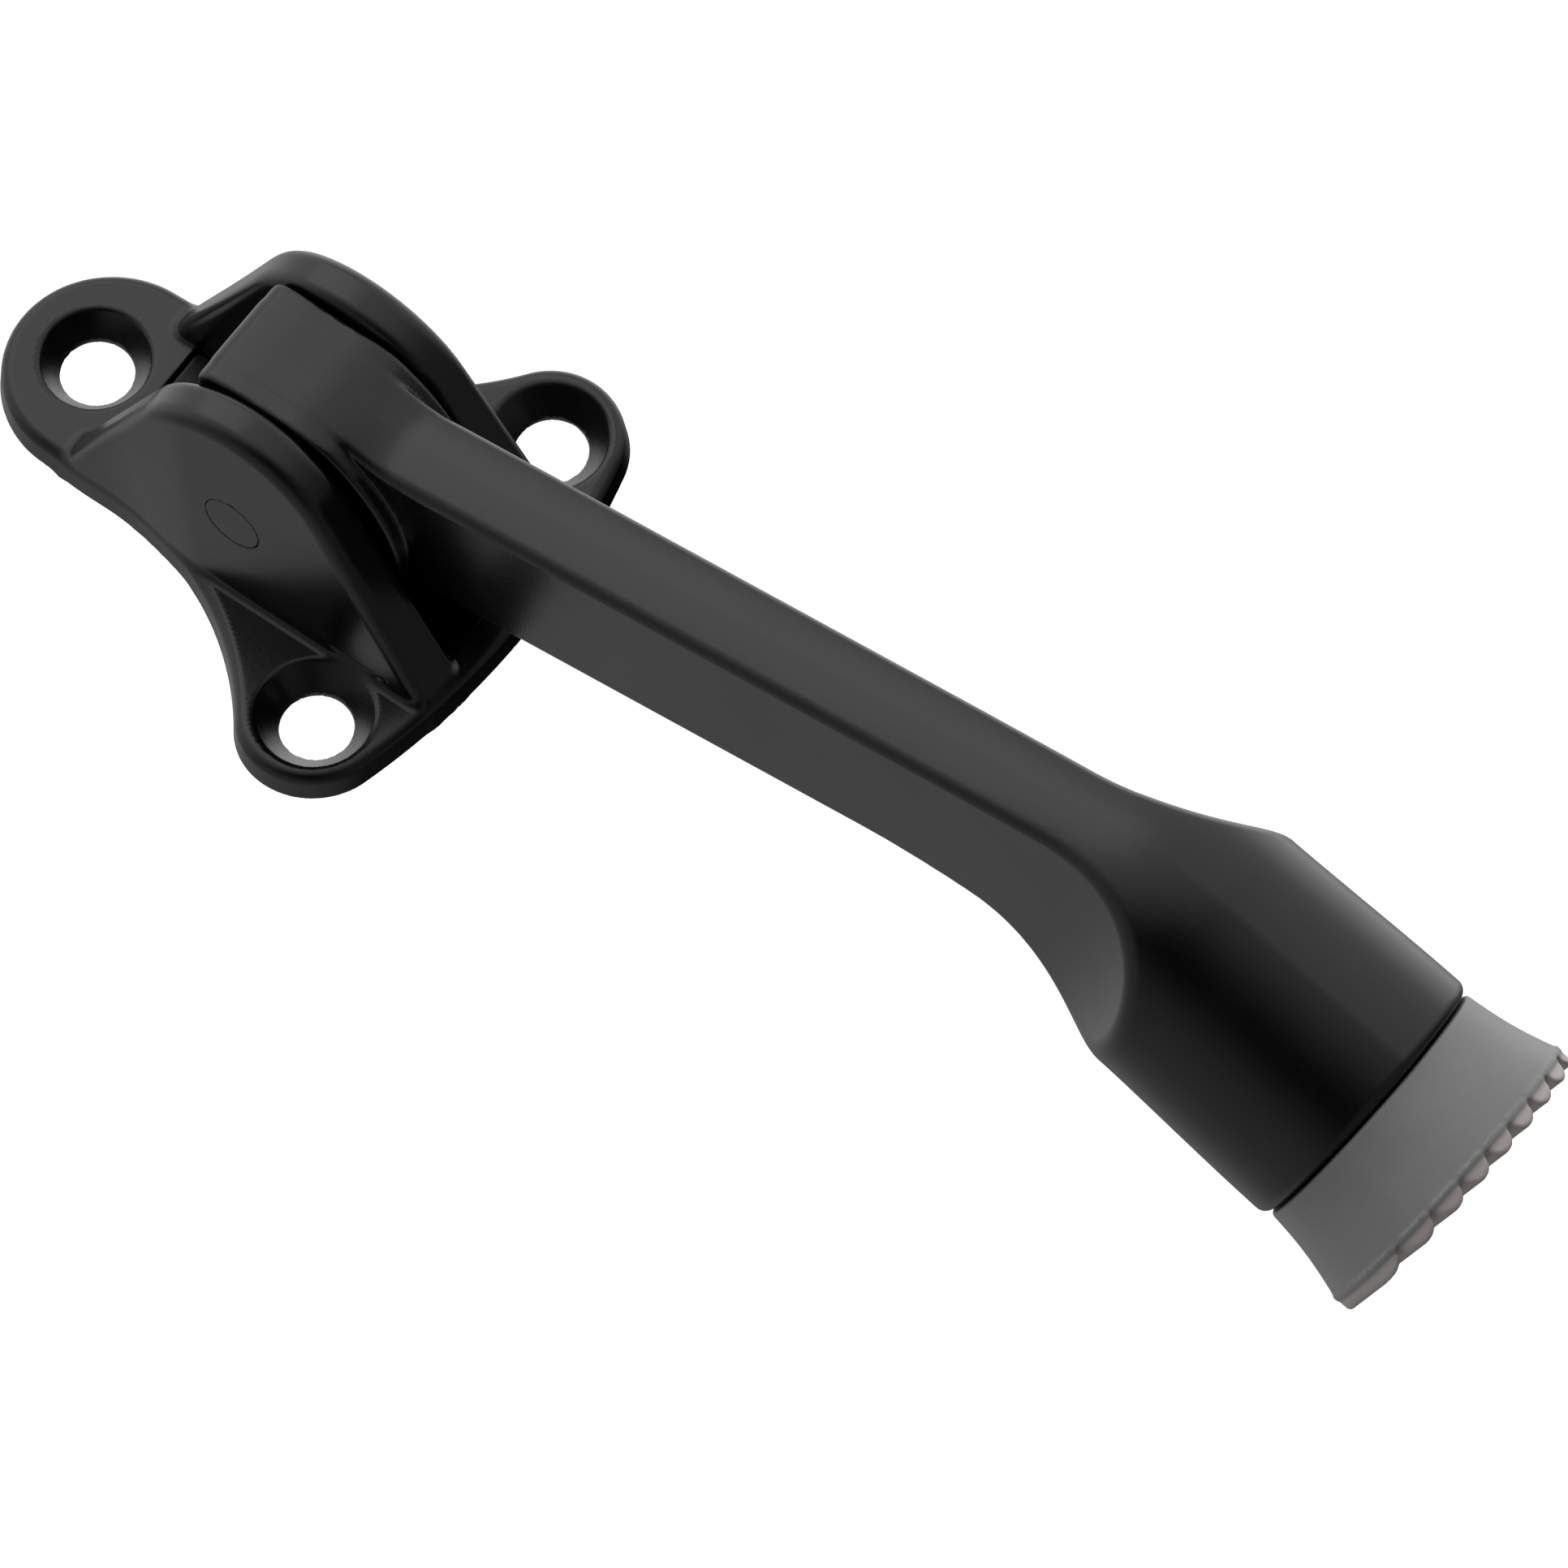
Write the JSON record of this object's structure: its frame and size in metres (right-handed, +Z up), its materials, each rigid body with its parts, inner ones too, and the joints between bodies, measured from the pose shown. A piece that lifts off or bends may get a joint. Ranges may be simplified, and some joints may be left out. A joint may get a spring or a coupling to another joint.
{
  "type": "kick-down door holder",
  "caption": "Lever-type door holder: cast bracket with countersunk screw holes, spring-held swinging lever and ribbed rubber foot.",
  "frame": {"origin": "midpoint between the two lower screw holes on the bracket's back face, which lies on the door", "axes": "+X right seen from in front of the door, -Y straight out of the door, +Z up the door; the lever hangs down at rest"},
  "size_m": [0.0394, 0.0328, 0.1354],
  "materials": {
    "cast_black": "satin black coating on a casting",
    "spring_steel": "dark oiled",
    "grey_rubber": "matte grey",
    "zinc_plate": "zinc plated"
  },
  "bodies": {
    "bracket_assembly": {"bracket": "cast_black", "pivot_pin": "cast_black", "leaf_spring": "spring_steel"},
    "lever": {"lever_arm": "cast_black", "rubber_foot": "grey_rubber", "foot_washer": "zinc_plate", "foot_screw": "zinc_plate"}
  },
  "joints": [
    {"name": "lever_pivot", "type": "hinge", "parent": "bracket_assembly", "child": "lever", "pos_m": [0, -0.0122, 0.01065], "axis": [-1, 0, 0], "range_deg": [0, 171], "deforming": ["leaf_spring"]}
  ]
}
